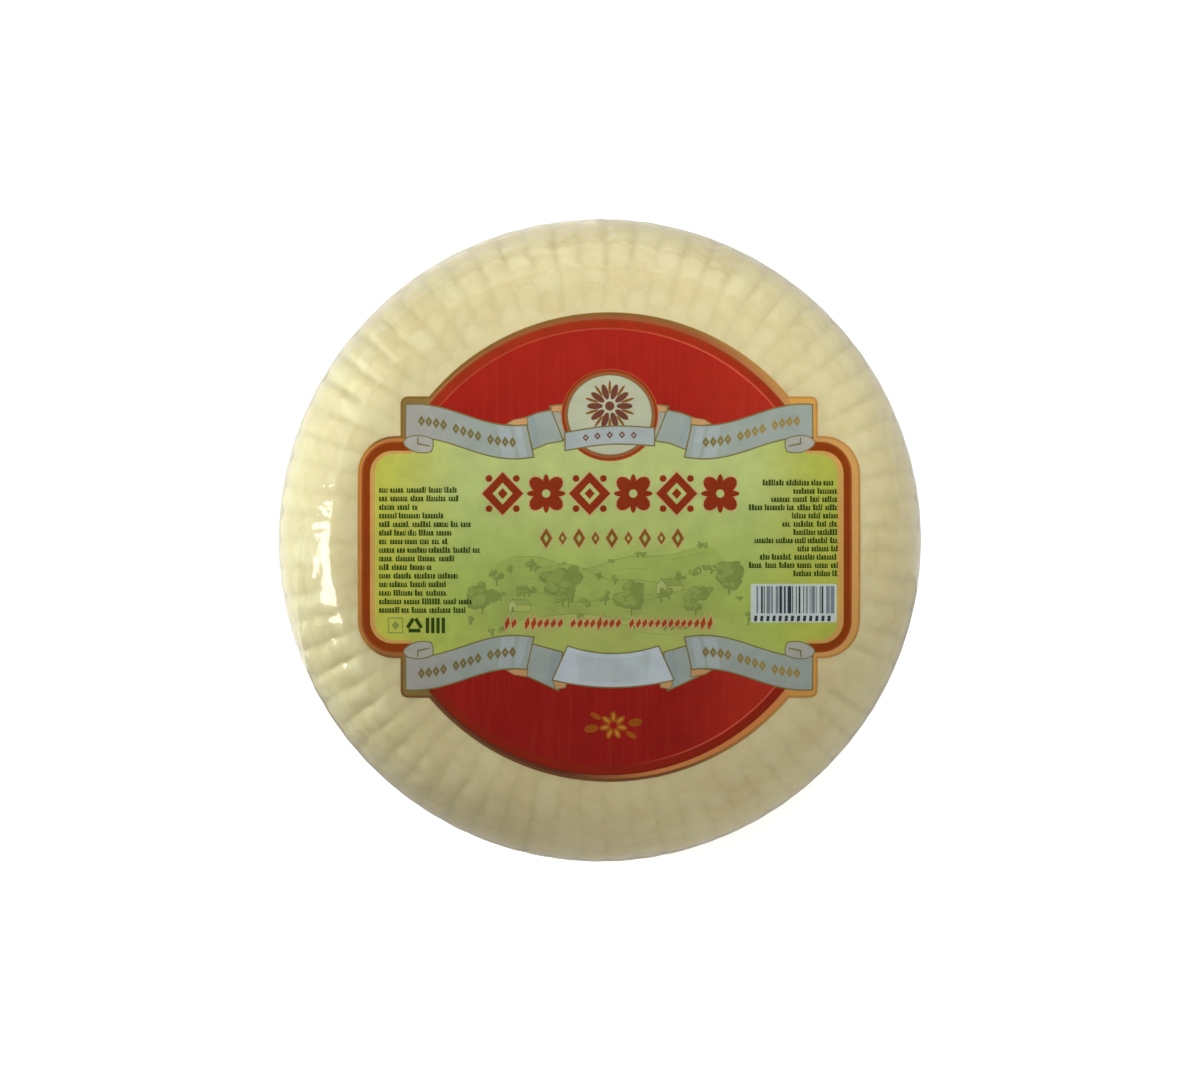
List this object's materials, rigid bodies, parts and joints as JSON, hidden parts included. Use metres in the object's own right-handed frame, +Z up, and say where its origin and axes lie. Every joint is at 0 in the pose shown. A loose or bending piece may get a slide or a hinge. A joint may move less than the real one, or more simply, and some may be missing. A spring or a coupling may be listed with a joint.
{
  "type": "cheese wheel",
  "caption": "Low round wheel of white brined cheese with a fluted, lumpy rim, sealed in clear film with a die-cut printed label on its smooth, slightly domed top.",
  "frame": {"origin": "middle of the flat base, on the wheel's axis", "axes": "+Z up along the wheel's axis; +X to the right and +Y to the top of the label, as it is read from above"},
  "size_m": [0.2399, 0.24, 0.0827],
  "materials": {
    "cheese": "creamy white pressed curd under tight clear glossy film",
    "label": "printed paper under film, red, green, pale blue-grey and gold"
  },
  "bodies": {
    "root": {"cheese_wheel": "cheese", "label": "label"}
  },
  "joints": []
}
